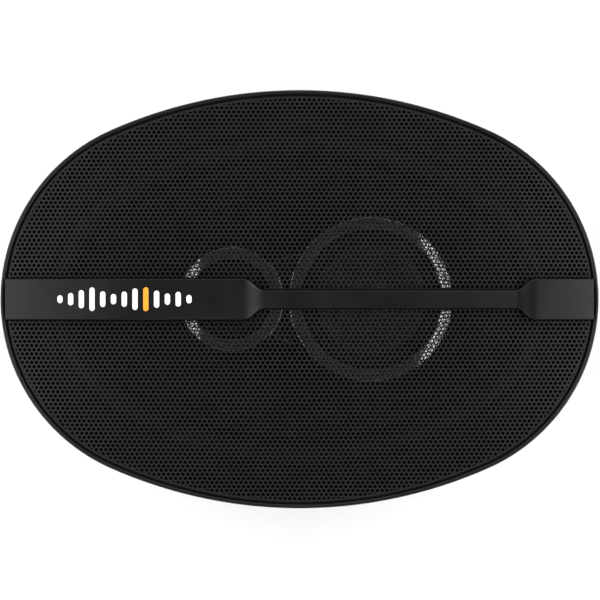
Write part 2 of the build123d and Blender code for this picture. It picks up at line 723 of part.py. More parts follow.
BADGES = range(len(BADGE_HEIGHTS))
NODES = {
    "grille_ring": grille_ring(),
    "grille_mesh": grille_mesh(),
    "grille_bar": grille_bar(),
    "badge_bars": [badge_bar(i) for i in BADGES if i != BADGE_ACCENT],
    "badge_accent": badge_bar(BADGE_ACCENT),
    "grille_base_ring": grille_base_ring(),
    "basket": basket(),
    "motor_rivets": motor_rivets(),
    "top_plate": top_plate(),
    "ring_magnet": tube(MAGNET_R, MAGNET_HOLE_R, MAGNET_Z, TOP_PLATE_Z),
    "back_plate": back_plate(),
    "woofer_cone": woofer_cone(),
    "woofer_surround": woofer_surround(),
    "surround_gasket": surround_gasket(),
    "spider": spider(),
    "coil_former": tube(FORMER_R, FORMER_INNER_R, *FORMER_Z),
    "coil_winding": tube(WINDING_R, FORMER_R, *WINDING_Z),
    "dust_ring": dust_ring(),
    "tinsel_lead_positive": tinsel_lead(1),
    "tinsel_lead_negative": tinsel_lead(-1),
    "terminal_board": terminal_board(),
    "board_rivets": board_rivets(),
    "terminal_positive": terminal(1, POSITIVE_HALF),
    "terminal_negative": terminal(-1, NEGATIVE_HALF),
    "terminal_rivets": terminal_rivets(),
    "midrange_capacitor": capacitor(-58, 17.0, CAPACITOR_R),
    "tweeter_capacitor": capacitor(-122, 14.0, CAPACITOR_R - 0.6),
    "coax_post": coax_post(),
    "post_nut": post_nut(),
    "pod_leads": [pod_lead(1), pod_lead(-1)],
    "pod_housing": pod_housing(),
    "midrange_frame": midrange_frame(),
    "midrange_trim_ring": driver_trim_ring(33.7, 28.4, MID_LIP_Z, MID_X),
    "midrange_cone": midrange_cone(),
    "midrange_surround": midrange_surround(),
    "midrange_dust_cap": spherical_cap(10.0, 3.3, 3.4, 0.5, MID_X),
    "midrange_voice_coil": tube(7.6, 7.2, -6.5, 2.0, MID_X),
    "midrange_top_plate": tube(15.0, 8.0, *MID_PLATE_Z, MID_X),
    "midrange_magnet": tube(MID_MOTOR_R, 9.5, MID_YOKE_Z[1], MID_PLATE_Z[0], MID_X),
    "midrange_yoke": midrange_yoke(),
    "tweeter_clamp_plate": tube(19.2, 11.6, TWEETER_PLATE_Z[1], TWEETER_CLAMP_Z, TWEETER_X),
    "tweeter_trim_ring": driver_trim_ring(21.4, 16.5, TWEETER_LIP_Z, TWEETER_X),
    "tweeter_dome": spherical_cap(10.5, 6.5, 3.8, 0.4, TWEETER_X),
    "tweeter_surround": tweeter_surround(),
    "tweeter_voice_coil": tube(10.4, 9.8, 0.0, 6.2, TWEETER_X),
    "tweeter_top_plate": tube(TWEETER_MOTOR_R - 0.5, 10.8, *TWEETER_PLATE_Z, TWEETER_X),
    "tweeter_magnet": tube(TWEETER_MOTOR_R, 11.6, TWEETER_YOKE_Z[1], TWEETER_PLATE_Z[0], TWEETER_X),
    "tweeter_yoke": tweeter_yoke(),
}

os.makedirs("parts", exist_ok=True)
for name, shape in NODES.items():
    solids = shape if isinstance(shape, list) else [shape]
    export_step(Compound(children=[s for part in solids for s in part.solids()]), f"parts/{name}.step")
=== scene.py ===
import math

import bmesh
import bpy
import numpy as np
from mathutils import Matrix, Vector


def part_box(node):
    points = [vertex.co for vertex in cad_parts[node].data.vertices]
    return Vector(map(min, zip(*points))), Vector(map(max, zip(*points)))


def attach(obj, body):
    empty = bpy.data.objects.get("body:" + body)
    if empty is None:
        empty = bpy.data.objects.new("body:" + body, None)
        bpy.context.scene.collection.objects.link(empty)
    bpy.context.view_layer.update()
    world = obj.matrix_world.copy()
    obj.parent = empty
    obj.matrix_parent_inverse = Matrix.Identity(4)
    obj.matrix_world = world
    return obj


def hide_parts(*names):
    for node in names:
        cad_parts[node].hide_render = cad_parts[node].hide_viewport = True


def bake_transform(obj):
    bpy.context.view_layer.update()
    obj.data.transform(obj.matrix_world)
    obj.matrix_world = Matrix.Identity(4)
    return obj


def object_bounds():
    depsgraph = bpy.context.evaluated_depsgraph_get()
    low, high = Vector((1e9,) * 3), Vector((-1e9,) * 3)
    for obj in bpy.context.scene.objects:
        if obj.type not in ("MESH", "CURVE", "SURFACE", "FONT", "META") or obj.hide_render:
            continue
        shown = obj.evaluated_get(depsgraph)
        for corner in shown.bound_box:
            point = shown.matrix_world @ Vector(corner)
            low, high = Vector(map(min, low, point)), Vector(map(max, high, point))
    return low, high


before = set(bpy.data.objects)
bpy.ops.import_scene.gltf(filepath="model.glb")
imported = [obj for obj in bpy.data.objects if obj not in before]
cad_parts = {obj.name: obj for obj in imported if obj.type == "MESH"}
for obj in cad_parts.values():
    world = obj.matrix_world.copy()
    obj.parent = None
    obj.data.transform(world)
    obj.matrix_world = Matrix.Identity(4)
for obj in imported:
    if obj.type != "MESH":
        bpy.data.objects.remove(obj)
CAD_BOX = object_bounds()

MM = 0.001

# Outline numbers that the frame's boxes don't give.
END_RADIUS = 76 * MM  # of the grille outline's two end arcs
CROWN_R = 271 * MM  # of the mesh's shoulder, in any section
CROWN_EDGE = -70 * MM  # the mesh is flat inside this offset from the outline

# Perforation of the grille.
PITCH = 2.0 * MM
HOLE_R = 0.78 * MM
SHEET = 0.8 * MM
SHEET_EDGE = -2.9 * MM
PINCH_X = 0.033  # how much shorter the pitch is at the ends than in the middle
PINCH_Y = 0.045


# ---------------------------------------------------------------- outlines


class Oval:
    """Four tangent arcs, with its offsets."""

    def __init__(self, a, b, r):
        self.a, self.b, self.r = a, b, r
        self.end_x = a - r
        self.side_r = ((a - r) ** 2 + b**2 - r**2) / (2 * (b - r))
        self.side_y = self.side_r - b
        self.turn = math.atan2(self.side_y, self.end_x)

    def offset(self, d):
        return Oval(self.a + d, self.b + d, self.r + d)

    def depth(self, x, y):
        """How far points lie outside the oval; negative inside."""
        x, y = np.abs(x), np.abs(y)
        at_end = self.end_x * (y + self.side_y) < self.side_y * x
        end = np.hypot(x - self.end_x, y) - self.r
        side = np.hypot(x, y + self.side_y) - self.side_r
        return np.where(at_end, end, side)

    def outward(self, x, y):
        """Unit direction away from the oval at points."""
        at_end = self.end_x * (np.abs(y) + self.side_y) < self.side_y * np.abs(x)
        dx = np.where(at_end, x - np.sign(x) * self.end_x, x)
        dy = np.where(at_end, y, y + np.sign(y) * self.side_y)
        length = np.maximum(np.hypot(dx, dy), 1e-9)
        return dx / length, dy / length

    def rays(self, count):
        """Points evenly spaced round the oval and the outward directions there."""
        end_length = 2 * self.turn * self.r
        side_length = (math.pi - 2 * self.turn) * self.side_r
        arcs = (
            (self.end_x, 0, self.r, -self.turn, end_length),
            (0, -self.side_y, self.side_r, self.turn, side_length),
            (-self.end_x, 0, self.r, math.pi - self.turn, end_length),
            (0, self.side_y, self.side_r, math.pi + self.turn, side_length),
        )
        total = 2 * (end_length + side_length)
        rays = []
        for i in range(count):
            s = total * i / count
            for cx, cy, radius, start, length in arcs:
                if s <= length:
                    break
                s -= length
            t = start + s / radius
            c, n = math.cos(t), math.sin(t)
            rays.append((cx + radius * c, cy + radius * n, c, n))
        return rays


def circle_rays(radius, count, x=0.0, y=0.0):
    """The same for a circle."""
    rays = []
    for i in range(count):
        t = 2 * math.pi * i / count
        rays.append((x + radius * math.cos(t), y + radius * math.sin(t), math.cos(t), math.sin(t)))
    return rays


# ---------------------------------------------------------------- meshes


def new_object(name, verts, faces, material, smooth_angle=35.0):
    """Mesh object with smooth shading up to an angle."""
    mesh = bpy.data.meshes.new(name)
    mesh.from_pydata([tuple(v) for v in verts], [], faces)
    mesh.validate()
    mesh.update()
    obj = bpy.data.objects.new(name, mesh)
    bpy.context.scene.collection.objects.link(obj)
    mesh.materials.append(material)
    if smooth_angle:
        mesh.shade_smooth()
        mesh.set_sharp_from_angle(angle=math.radians(smooth_angle))
    return obj


def ring_faces(rows, count, closed_section):
    """Quads between rows of points that each go once round."""
    faces = []
    last = rows if closed_section else rows - 1
    for j in range(last):
        low, high = j * count, ((j + 1) % rows) * count
        for i in range(count):
            k = (i + 1) % count
            faces.append((low + i, low + k, high + k, high + i))
    return faces


def skin(name, rows, material, closed=True, smooth_angle=35.0):
    """Shell through rows of points that each go once round."""
    verts = [point for row in rows for point in row]
    obj = new_object(name, verts, ring_faces(len(rows), len(rows[0]), closed), material, smooth_angle)
    face_outwards(obj)
    return obj


def swept(name, rays, section, material, closed=True, smooth_angle=35.0):
    """Section of (offset, height) carried round the rays."""
    rows = [[(x + nx * d, y + ny * d, z) for x, y, nx, ny in rays] for d, z in section]
    return skin(name, rows, material, closed, smooth_angle)


def turned(name, section, material, x=0.0, count=120, smooth_angle=35.0):
    """Closed section of (radius, height) turned about an upright axis at x."""
    rays = [(x, 0.0, nx, ny) for _, _, nx, ny in circle_rays(1.0, count)]
    return swept(name, rays, section, material, True, smooth_angle)


def face_outwards(obj):
    """Weld the points that meet and turn the faces of each closed shell to the outside."""
    work = bmesh.new()
    work.from_mesh(obj.data)
    bmesh.ops.remove_doubles(work, verts=work.verts, dist=0.001 * MM)
    bmesh.ops.recalc_face_normals(work, faces=work.faces)
    work.to_mesh(obj.data)
    work.free()


def mm(*points):
    """Section points given in millimetres."""
    return [(a * MM, b * MM) for a, b in points]


def rounded(corners, radius, steps=3):
    """Closed section with its corners rounded."""
    points = []
    for i, corner in enumerate(corners):
        corner = Vector(corner)
        back = Vector(corners[i - 1]) - corner
        ahead = Vector(corners[(i + 1) % len(corners)]) - corner
        cut = min(radius, 0.45 * back.length, 0.45 * ahead.length)
        start = corner + back.normalized() * cut
        end = corner + ahead.normalized() * cut
        for k in range(steps + 1):
            t = k / steps
            points.append(tuple(start * (1 - t) ** 2 + corner * 2 * t * (1 - t) + end * t * t))
    return points


def copied(name, node, material, smooth_angle=35.0):
    """The node's own shape as a new piece, with its triangles joined into whole faces."""
    work = bmesh.new()
    work.from_mesh(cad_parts[node].data)
    bmesh.ops.remove_doubles(work, verts=work.verts, dist=0.002 * MM)
    bmesh.ops.dissolve_limit(work, angle_limit=math.radians(0.2), verts=work.verts, edges=work.edges)
    mesh = bpy.data.meshes.new(name)
    work.to_mesh(mesh)
    work.free()
    mesh.materials.clear()
    mesh.materials.append(material)
    mesh.shade_smooth()
    mesh.set_sharp_from_angle(angle=math.radians(smooth_angle))
    obj = bpy.data.objects.new(name, mesh)
    bpy.context.scene.collection.objects.link(obj)
    return obj


def softened(name, node, body, slot, material, width):
    """The node's own shape with its edges rounded over."""
    obj = copied(name, node, material)
    bevel = obj.modifiers.new("edges", "BEVEL")
    bevel.width = width
    bevel.segments = 2
    bevel.limit_method = "ANGLE"
    bevel.angle_limit = math.radians(35)
    shading = obj.modifiers.new("shading", "WEIGHTED_NORMAL")
    shading.keep_sharp = True
    return add(obj, body, slot, node)


def coated(node, material):
    """Keep a CAD node and give it a finish."""
    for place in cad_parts[node].material_slots:
        place.material = material


def flexing(piece, node, weight):
    """Bake a piece in place and hide the node that it stands for; each point's weight between the frame and
    a moving body is worked out from its place but not applied.
    """
    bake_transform(piece)
    places = np.array([v.co for v in piece.data.vertices])
    share = np.clip(weight(places), 0, 1)
    share = share * share * (3 - 2 * share)
    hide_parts(node)


def arc(cx, cz, radius, start, end, steps):
    """Points of an arc in a section, angles in degrees."""
    points = []
    for i in range(steps + 1):
        t = math.radians(start + (end - start) * i / steps)
        points.append((cx + radius * math.cos(t), cz + radius * math.sin(t)))
    return points


def add(piece, body, slot, *replaced):
    """Ride a piece on its body and hide the nodes that it stands for; the slot is not used."""
    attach(piece, body)
    if replaced:
        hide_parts(*replaced)
    return piece


# ---------------------------------------------------------------- materials


class Surface:
    """Material with a Principled shader and a few shorthand nodes."""

    def __init__(self, name, colour, roughness, metallic=0.0):
        self.material = bpy.data.materials.new(name)
        self.material.use_nodes = True
        self.tree = self.material.node_tree
        self.shader = self.tree.nodes["Principled BSDF"]
        self.shader.inputs["Base Color"].default_value = (*colour, 1)
        self.shader.inputs["Roughness"].default_value = roughness
        self.shader.inputs["Metallic"].default_value = metallic
        self.colour = colour
        self.place = self.node("ShaderNodeTexCoord").outputs["Object"]
        self.normal = None

    def node(self, kind, **values):
        made = self.tree.nodes.new(kind)
        for name, value in values.items():
            setattr(made, name, value)
        return made

    def link(self, a, b):
        self.tree.links.new(a, b)

    def stretched(self, scale):
        """Object coordinates scaled differently along each axis."""
        mapping = self.node("ShaderNodeMapping")
        mapping.inputs["Scale"].default_value = scale
        self.link(self.place, mapping.inputs["Vector"])
        return mapping.outputs["Vector"]

    def noise(self, scale, detail=3.0, vector=None, rough=0.5):
        made = self.node("ShaderNodeTexNoise")
        made.inputs["Scale"].default_value = scale
        made.inputs["Detail"].default_value = detail
        made.inputs["Roughness"].default_value = rough
        self.link(vector or self.place, made.inputs["Vector"])
        return made.outputs["Fac"]

    def ramp(self, fac, stops):
        """Colour ramp from (position, colour) stops."""
        made = self.node("ShaderNodeValToRGB")
        ramp = made.color_ramp
        while len(ramp.elements) < len(stops):
            ramp.elements.new(0.5)
        for element, (position, colour) in zip(ramp.elements, stops):
            element.position = position
            element.color = (*colour, 1)
        self.link(fac, made.inputs["Fac"])
        return made.outputs["Color"]

    def spread(self, fac, low, high, start=0.3, end=0.7):
        """Map a factor to a range of values."""
        made = self.node("ShaderNodeMapRange")
        made.inputs["From Min"].default_value = start
        made.inputs["From Max"].default_value = end
        made.inputs["To Min"].default_value = low
        made.inputs["To Max"].default_value = high
        self.link(fac, made.inputs["Value"])
        return made.outputs["Result"]

    def vary_colour(self, fac, low, high, start=0.3, end=0.7):
        """Base colour between two multiples of the surface's own."""
        stops = [(start, [c * low for c in self.colour]), (end, [c * high for c in self.colour])]
        self.link(self.ramp(fac, stops), self.shader.inputs["Base Color"])

    def vary_roughness(self, fac, low, high, start=0.3, end=0.7):
        self.link(self.spread(fac, low, high, start, end), self.shader.inputs["Roughness"])

    def bump(self, height, distance, strength=1.0):
        """Raise the surface by a height field, on top of any bump made before."""
        made = self.node("ShaderNodeBump")
        made.inputs["Distance"].default_value = distance
        made.inputs["Strength"].default_value = strength
        self.link(height, made.inputs["Height"])
        if self.normal:
            self.link(self.normal, made.inputs["Normal"])
        self.normal = made.outputs["Normal"]
        self.link(self.normal, self.shader.inputs["Normal"])


def moulded_plastic(name, colour, roughness, grain=2600, depth=0.02 * MM, specular=0.35):
    """Satin moulded plastic: fine spark-eroded grain with soft patches of handling."""
    surface = Surface(name, colour, roughness)
    surface.shader.inputs["Specular IOR Level"].default_value = specular
    surface.vary_colour(surface.noise(35, 4), 0.8, 1.25)
    surface.vary_roughness(surface.noise(60, 5), roughness - 0.05, roughness + 0.07)
    surface.bump(surface.noise(grain, 2), depth)
    return surface.material


def coated_steel(name, colour, roughness, peel=900, depth=0.02 * MM, specular=0.35):
    """Black coat on steel: orange peel and dust specks."""
    surface = Surface(name, colour, roughness)
    surface.shader.inputs["Specular IOR Level"].default_value = specular
    surface.vary_colour(surface.noise(4200, 1), 0.85, 1.5, 0.45, 0.75)
    surface.vary_roughness(surface.noise(120, 4), roughness - 0.06, roughness + 0.08)
    surface.bump(surface.noise(peel, 3), depth)
    return surface.material


def plated_steel(name, colour, roughness, grain=55):
    """Zinc plate: cloudy spangle, a fine grain and a few darker handling marks."""
    surface = Surface(name, colour, roughness, 1.0)
    cells = surface.node("ShaderNodeTexVoronoi")
    cells.inputs["Scale"].default_value = grain * 6
    surface.link(surface.place, cells.inputs["Vector"])
    clouds = surface.noise(grain, 5)
    surface.vary_colour(clouds, 0.78, 1.05)
    surface.vary_roughness(clouds, roughness - 0.08, roughness + 0.14)
    surface.bump(cells.outputs["Distance"], 0.004 * MM)
    surface.bump(surface.noise(1800, 3), 0.004 * MM)
    return surface.material


def satin_metal(name, colour, roughness, along=(400, 40, 400)):
    """Metal with fine drawn lines and slight smudges."""
    surface = Surface(name, colour, roughness, 1.0)
    lines = surface.noise(9, 4, surface.stretched(along))
    surface.vary_roughness(lines, roughness - 0.06, roughness + 0.1)
    surface.vary_colour(surface.noise(90, 3), 0.88, 1.04)
    surface.bump(lines, 0.004 * MM)
    return surface.material


def chrome_plate(name, colour, roughness=0.07):
    """Bright plating on a plastic ring: faint waviness and dust."""
    surface = Surface(name, colour, roughness, 1.0)
    surface.vary_roughness(surface.noise(700, 3), roughness - 0.03, roughness + 0.12, 0.4, 0.8)
    surface.vary_colour(surface.noise(60, 3), 0.9, 1.05)
    surface.bump(surface.noise(90, 2), 0.01 * MM)
    return surface.material


def gloss_paint(name, colour, roughness=0.25):
    """Glossy enamel with a faint peel."""
    surface = Surface(name, colour, roughness)
    surface.shader.inputs["Coat Weight"].default_value = 0.6
    surface.shader.inputs["Coat Roughness"].default_value = 0.08
    surface.vary_colour(surface.noise(300, 3), 0.9, 1.08)
    surface.bump(surface.noise(1200, 2), 0.006 * MM)
    return surface.material


def sintered_ferrite(name, colour):
    """Ferrite: ground faces with pores and pale scuffs."""
    surface = Surface(name, colour, 0.62)
    pores = surface.noise(2400, 2)
    surface.vary_colour(surface.noise(45, 6), 0.65, 1.6)
    surface.vary_roughness(surface.noise(200, 4), 0.5, 0.75)
    surface.bump(surface.noise(8, 4, surface.stretched((30, 260, 30))), 0.015 * MM)
    surface.bump(pores, 0.05 * MM)
    return surface.material


def pulp_paper(name, colour, roughness=0.8, specular=0.3):
    """Pressed paper pulp: tangled fibres and a mottled dye."""
    surface = Surface(name, colour, roughness)
    surface.shader.inputs["Specular IOR Level"].default_value = specular
    fibres = surface.noise(5, 6, surface.stretched((260, 60, 160)), 0.7)
    across = surface.noise(5, 6, surface.stretched((60, 260, 160)), 0.7)
    surface.vary_colour(surface.noise(70, 5), 0.7, 1.5)
    surface.vary_roughness(fibres, roughness - 0.12, roughness + 0.1)
    surface.bump(fibres, 0.12 * MM)
    surface.bump(across, 0.12 * MM)
    return surface.material


def soft_rubber(name, colour, roughness=0.55):
    """Rubber or foam rubber: fine skin, bloom in soft clouds."""
    surface = Surface(name, colour, roughness)
    surface.shader.inputs["Specular IOR Level"].default_value = 0.3
    surface.vary_colour(surface.noise(50, 5), 0.75, 1.6)
    surface.vary_roughness(surface.noise(140, 4), roughness - 0.1, roughness + 0.12)
    surface.bump(surface.noise(1500, 3), 0.03 * MM)
    return surface.material


def woven_cloth(name, colour, roughness, threads, depth, sheen=0.2):
    """Plain weave: crossing threads, tinted with resin in patches."""
    surface = Surface(name, colour, roughness)
    surface.shader.inputs["Sheen Weight"].default_value = sheen
    for direction in ("X", "Y"):
        wave = surface.node("ShaderNodeTexWave", bands_direction=direction)
        wave.inputs["Scale"].default_value = threads
        wave.inputs["Distortion"].default_value = 0.4
        surface.link(surface.place, wave.inputs["Vector"])
        surface.bump(wave.outputs["Fac"], depth)
    surface.vary_colour(surface.noise(90, 5), 0.7, 1.3)
    surface.vary_roughness(surface.noise(400, 3), roughness - 0.1, roughness + 0.1)
    return surface.material


def matted_felt(name, colour):
    """Felt: loose fibres in every direction."""
    surface = Surface(name, colour, 0.95)
    surface.shader.inputs["Sheen Weight"].default_value = 0.4
    surface.vary_colour(surface.noise(900, 5), 0.5, 1.8)
    surface.bump(surface.noise(1600, 5, None, 0.7), 0.2 * MM)
    return surface.material


def wound_wire(name, colour):
    """Enamelled wire in close turns."""
    surface = Surface(name, colour, 0.28, 1.0)
    wave = surface.node("ShaderNodeTexWave", bands_direction="Z")
    wave.inputs["Scale"].default_value = 1100
    surface.link(surface.place, wave.inputs["Vector"])
    surface.vary_colour(surface.noise(120, 4), 0.8, 1.1)
    surface.bump(wave.outputs["Fac"], 0.08 * MM)
    return surface.material


def braided_wire(name, colour):
    """Tinsel braid: slanted strands."""
    surface = Surface(name, colour, 0.4, 1.0)
    wave = surface.node("ShaderNodeTexWave", bands_direction="DIAGONAL")
    wave.inputs["Scale"].default_value = 700
    wave.inputs["Distortion"].default_value = 2.0
    surface.link(surface.place, wave.inputs["Vector"])
    surface.vary_colour(wave.outputs["Fac"], 0.55, 1.1)
    surface.bump(wave.outputs["Fac"], 0.12 * MM)
    return surface.material


def phenolic_board(name, colour):
    """Resin-bonded paper board: layered fibres and dark flecks."""
    surface = Surface(name, colour, 0.5)
    flecks = surface.noise(7, 6, surface.stretched((90, 90, 420)), 0.7)
    surface.vary_colour(flecks, 0.6, 1.35)
    surface.vary_roughness(flecks, 0.42, 0.62)
    surface.bump(surface.noise(1300, 3), 0.02 * MM)
    return surface.material


def two_sheaths(name, colour, other):
    """Sheath of two leads that lie side by side, one of each colour."""
    surface = Surface(name, colour, 0.45)
    parts = surface.node("ShaderNodeSeparateXYZ")
    surface.link(surface.place, parts.inputs["Vector"])
    side = surface.spread(parts.outputs["X"], 0, 1, -0.02 * MM, 0.02 * MM)
    mixed = surface.ramp(side, [(0.4, other), (0.6, colour)])
    surface.link(mixed, surface.shader.inputs["Base Color"])
    surface.vary_roughness(surface.noise(300, 3), 0.38, 0.55)
    surface.bump(surface.noise(900, 3), 0.02 * MM)
    return surface.material


# ---------------------------------------------------------------- the grille


def floor_plane():
    """Seamless pale floor under the speaker."""
    surface = Surface("floor_paper", (0.86, 0.86, 0.86), 0.9)
    surface.vary_colour(surface.noise(2, 3), 0.985, 1.01)
    z = CAD_BOX[0].z
    half = 6.0
    corners = [(-half, -half, z), (half, -half, z), (half, half, z), (-half, half, z)]
    floor = new_object("floor", corners, [(0, 1, 2, 3)], surface.material, 0)


def grille_outline():
    low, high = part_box("grille_ring")
    return Oval((high.x - low.x) / 2, (high.y - low.y) / 2, END_RADIUS)


OUTLINE = grille_outline()
MESH_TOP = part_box("grille_mesh")[1].z
BEAD_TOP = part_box("grille_ring")[1].z


def crown(depth):
    """Height of the mesh's top at an offset from the outline."""
    past = np.clip(depth - CROWN_EDGE, 0, None)
    return MESH_TOP - CROWN_R + np.sqrt(CROWN_R**2 - past**2)


def pinched(x, y):
    """Perforation pattern drawn in towards the edges, as the press leaves it."""
    kx = PINCH_X / (3 * OUTLINE.a**2)
    ky = PINCH_Y / (3 * OUTLINE.b**2)
    return x * (1 - kx * x**2), y * (1 - ky * y**2)


def cell_centres():
    """Centres of the perforation's hexagons inside the sheet's edge."""
    row_gap = PITCH * math.sqrt(0.75)
    rows = int(OUTLINE.b * 1.1 / row_gap)
    columns = int(OUTLINE.a * 1.1 / PITCH)
    centres = []
    for j in range(-rows, rows + 1):
        shift = 0.5 * (j % 2)
        centres += [((i + shift) * PITCH, j * row_gap) for i in range(-columns, columns + 1)]
    centres = np.array(centres)
    px, py = pinched(centres[:, 0], centres[:, 1])
    return centres[OUTLINE.depth(px, py) < SHEET_EDGE + 0.15 * PITCH]


def on_dome(points, drop):
    """Plan points of the flat pattern, pinched, held inside the edge and laid on the dome."""
    x, y = pinched(points[:, 0], points[:, 1])
    over = np.clip(OUTLINE.depth(x, y) - SHEET_EDGE, 0, None)
    nx, ny = OUTLINE.outward(x, y)
    x, y = x - over * nx, y - over * ny
    return np.column_stack([x, y, crown(OUTLINE.depth(x, y)) - drop])


def perforated_sheet(name, centres, material):
    """Solid sheet with a round hole in each hexagonal cell."""
    turns = np.radians(30 * np.arange(12))
    side = np.where(np.arange(12) % 2, PITCH / math.sqrt(3), PITCH / 2)
    unit = np.column_stack([np.cos(turns), np.sin(turns)])
    outer = (centres[:, None] + unit * side[:, None]).reshape(-1, 2)
    inner = (centres[:, None] + unit * HOLE_R).reshape(-1, 2)
    grid = np.round(outer / (0.01 * MM))
    _, first, welded = np.unique(grid, axis=0, return_index=True, return_inverse=True)
    welded = welded.reshape(-1, 12)
    outer = outer[first]
    holes = len(outer) + np.arange(len(inner)).reshape(-1, 12)
    plan = np.vstack([outer, inner])
    verts = np.vstack([on_dome(plan, 0), on_dome(plan, SHEET)])
    below = len(plan)
    following = np.roll(np.arange(12), -1)
    top = np.stack([welded, welded[:, following], holes[:, following], holes], axis=2).reshape(-1, 4)
    wall = np.stack([holes, holes[:, following], holes[:, following] + below, holes + below], axis=2)
    rim = np.stack([welded[:, following], welded], axis=2).reshape(-1, 2)
    keys = np.sort(rim, axis=1)
    _, index, count = np.unique(keys, axis=0, return_index=True, return_counts=True)
    border = rim[index[count == 1]]
    border = np.column_stack([border, border[:, ::-1] + below])
    faces = np.vstack([top, top[:, ::-1] + below, wall.reshape(-1, 4), border])
    corners = verts[faces]
    cross = np.cross(corners[:, 2] - corners[:, 0], corners[:, 3] - corners[:, 1])
    faces = faces[np.linalg.norm(cross, axis=1) > 1e-5 * PITCH**2]
    return new_object(name, verts, faces.tolist(), material, 0)


def grille_sheet(material):
    """Perforated dome in four quarters, with its turned-down edge."""
    centres = cell_centres()
    right, upper = centres[:, 0] > 0, centres[:, 1] > 0
    quarters = (right & upper, ~right & upper, ~right & ~upper, right & ~upper)
    for number, chosen in enumerate(quarters, 1):
        piece = perforated_sheet(f"mesh_sheet_{number}", centres[chosen], material)
        add(piece, "grille", "mesh_paint", "grille_mesh")
    edge = SHEET_EDGE
    z = float(crown(np.array(edge)))
    fold_r = 0.45 * MM
    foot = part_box("grille_mesh")[0].z + 0.05 * MM
    section = [(edge - 0.5 * MM, z - SHEET), (edge - 0.5 * MM, z - 0.02 * MM)]
    section.append((edge - 0.1 * MM, z - 0.04 * MM))
    section += arc(edge, z - fold_r - 0.04 * MM, fold_r, 80, 0, 6)
    section += [(edge + fold_r, foot), (edge + fold_r - SHEET * 0.8, foot)]
    fold = swept("mesh_fold", OUTLINE.rays(360), section, material)
    add(fold, "grille", "mesh_paint", "grille_mesh")


def grille_rim(material):
    """Rim of the grille: skirt, rounded bead, black inside wall and ledge."""
    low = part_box("grille_ring")[0].z
    bead_r = 0.85 * MM
    ledge_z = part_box("grille_mesh")[0].z - 0.03 * MM
    ledge_in = -6.2 * MM
    ledge = 1.2 * MM
    wall = -2.2 * MM
    soft = 0.35 * MM
    section = arc(-soft, low + soft, soft, -90, 0, 4)
    section += [(0.0, low + 3.0 * MM), (-0.12 * MM, low + 3.25 * MM), (-0.12 * MM, low + 3.6 * MM)]
    section += [(0.0, low + 3.85 * MM), (0.0, BEAD_TOP - 2.2 * MM)]
    section += arc(-bead_r, BEAD_TOP - bead_r, bead_r, 0, 180, 14)
    section += [(-2 * bead_r, ledge_z + 0.25 * MM), (-2 * bead_r - 0.25 * MM, ledge_z), (ledge_in, ledge_z)]
    section += [(ledge_in, ledge_z - ledge), (wall - 0.4 * MM, ledge_z - ledge)]
    section.append((wall, ledge_z - ledge - 0.4 * MM))
    section += [(wall, low + 0.3 * MM), (wall + 0.3 * MM, low)]
    rim = swept("grille_rim", OUTLINE.rays(480), section, material)
    add(rim, "grille", "rim_plastic", "grille_ring")


# ---------------------------------------------------------------- the bar

BAR_LOW, BAR_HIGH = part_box("grille_bar")
PAD_HALF = (BAR_HIGH.y - BAR_LOW.y) / 2
NECK_HALF = 3.75 * MM
BAR_LIFT = 0.3 * MM
NECK_TOP = 2.6 * MM
PAD_TOP = 4.6 * MM
LEFT_PAD_X = -22.8 * MM
LEFT_NECK_X = -13.9 * MM
RIGHT_NECK_X = 88.2 * MM
RIGHT_PAD_X = 96.4 * MM
BAR_EDGE = 0.6 * MM
PAINTED_SHADE_WIDTH = 0.45 * MM  # how far the painted shade strip shows beside the bar


def crown_line(x, lift):
    """Height over the long axis at x, lifted square to the mesh."""
    past = max(abs(x) - (OUTLINE.a + CROWN_EDGE), 0.0)
    return MESH_TOP - CROWN_R + math.sqrt((CROWN_R + lift) ** 2 - past**2)


def bar_section(half, low, high, edge, crowned):
    """Half-rounded section of the bar, from its left foot over the top to its right foot."""
    left = [(-half, low), (-half + 0.05 * MM, high - edge)]
    turn = [(-half + 0.05 * MM + edge * (1 - math.cos(t)), high - edge * (1 - math.sin(t)))
            for t in np.radians([15, 30, 45, 60, 75, 90])]
    reach = half - 0.05 * MM - edge
    flat = [(reach * u, high + crowned * (1 - u * u)) for u in (-0.75, -0.5, -0.25, 0, 0.25, 0.5, 0.75)]
    right = [(-y, z) for y, z in reversed(left + turn)]
    return left + turn + flat + right


def lofted_bar(name, stations, material):
    """Closed shell through sections of (x, half width, low lift, high lift)."""
    rows = []
    for x, half, low, high in stations:
        edge = min(BAR_EDGE, 0.45 * (high - low))
        section = bar_section(half, crown_line(x, low), crown_line(x, high), edge, 0.12 * MM)
        rows.append([(x, y, z) for y, z in section])
    width = len(rows[0])
    verts = [v for row in rows for v in row]
    faces = []
    for j in range(len(rows) - 1):
        for i in range(width):
            k = (i + 1) % width
            faces.append((j * width + i, j * width + k, (j + 1) * width + k, (j + 1) * width + i))
    faces.append(tuple(range(width)))
    faces.append(tuple(range((len(rows) - 1) * width, len(rows) * width)))
    obj = new_object(name, verts, faces, material, 40)
    face_outwards(obj)
    return obj


def smooth_step(t):
    t = min(max(t, 0.0), 1.0)
    return t * t * (3 - 2 * t)


def taper(t):
    """Straight taper with rounded ends."""
    soft = 0.42
    if t < soft:
        return t * t / (2 * soft * (1 - soft))
    if t > 1 - soft:
        return 1 - (1 - t) ** 2 / (2 * soft * (1 - soft))
    return (t - soft / 2) / (1 - soft)


